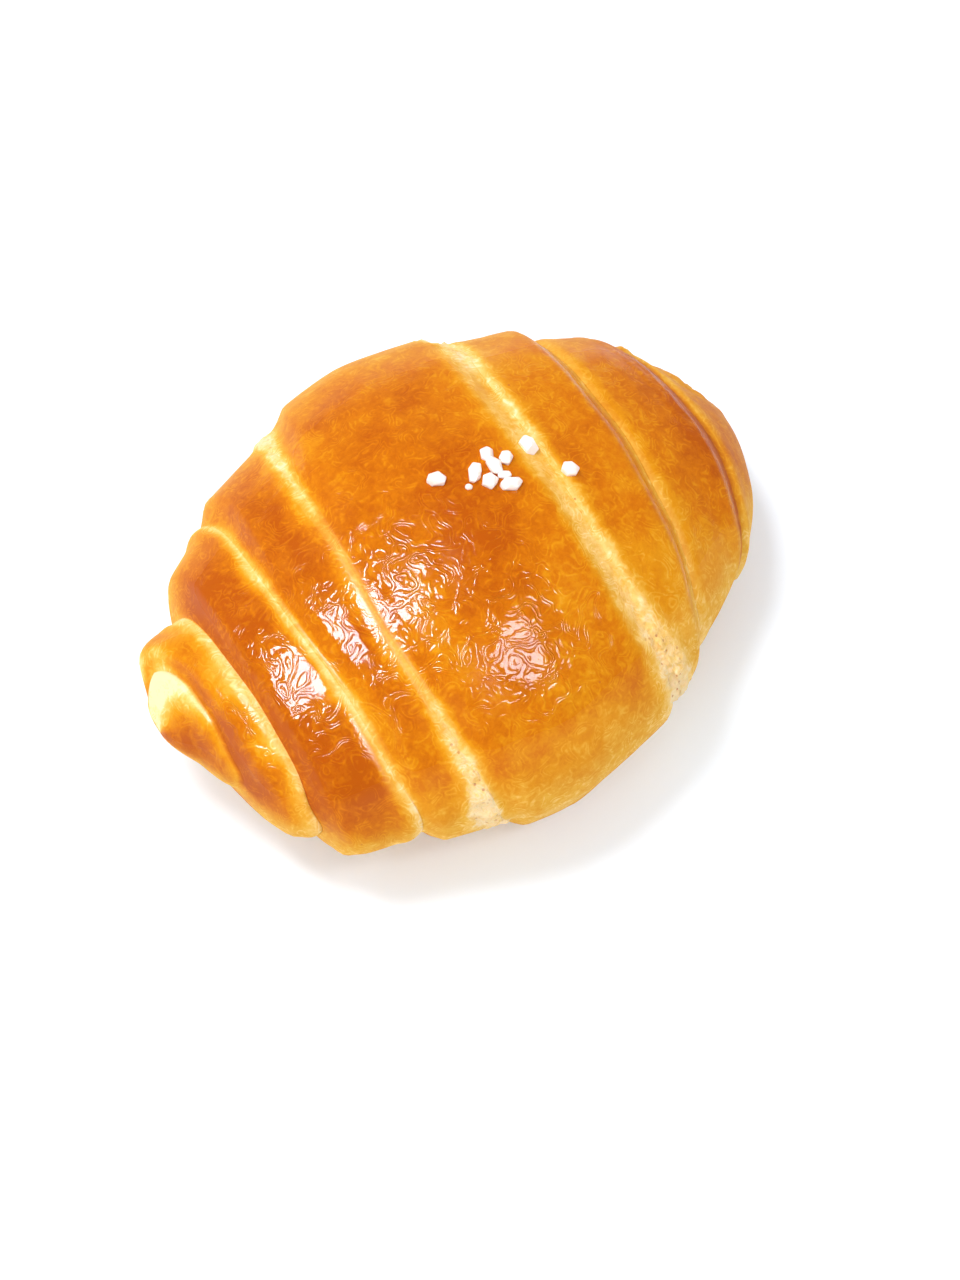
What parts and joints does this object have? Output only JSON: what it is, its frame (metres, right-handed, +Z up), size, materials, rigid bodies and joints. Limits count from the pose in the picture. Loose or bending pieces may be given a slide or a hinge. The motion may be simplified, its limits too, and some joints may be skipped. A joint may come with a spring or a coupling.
{
  "type": "salt bread roll",
  "caption": "Tapered bread roll coiled from one strip of dough into stepped overlapping bands, with a glazed crust and coarse salt on its crest; it rests on a flat base.",
  "frame": {"origin": "on the surface the roll rests on, under the middle of its box", "axes": "+X along the roll from its open coil to its far tip, +Y to its back, +Z up"},
  "size_m": [0.1218, 0.0932, 0.0526],
  "materials": {
    "crust": "egg-glazed golden-brown crust, pale cream where the bands overlap",
    "salt": "dull translucent white crystal"
  },
  "bodies": {
    "root": {"roll": "crust"}
  },
  "joints": []
}
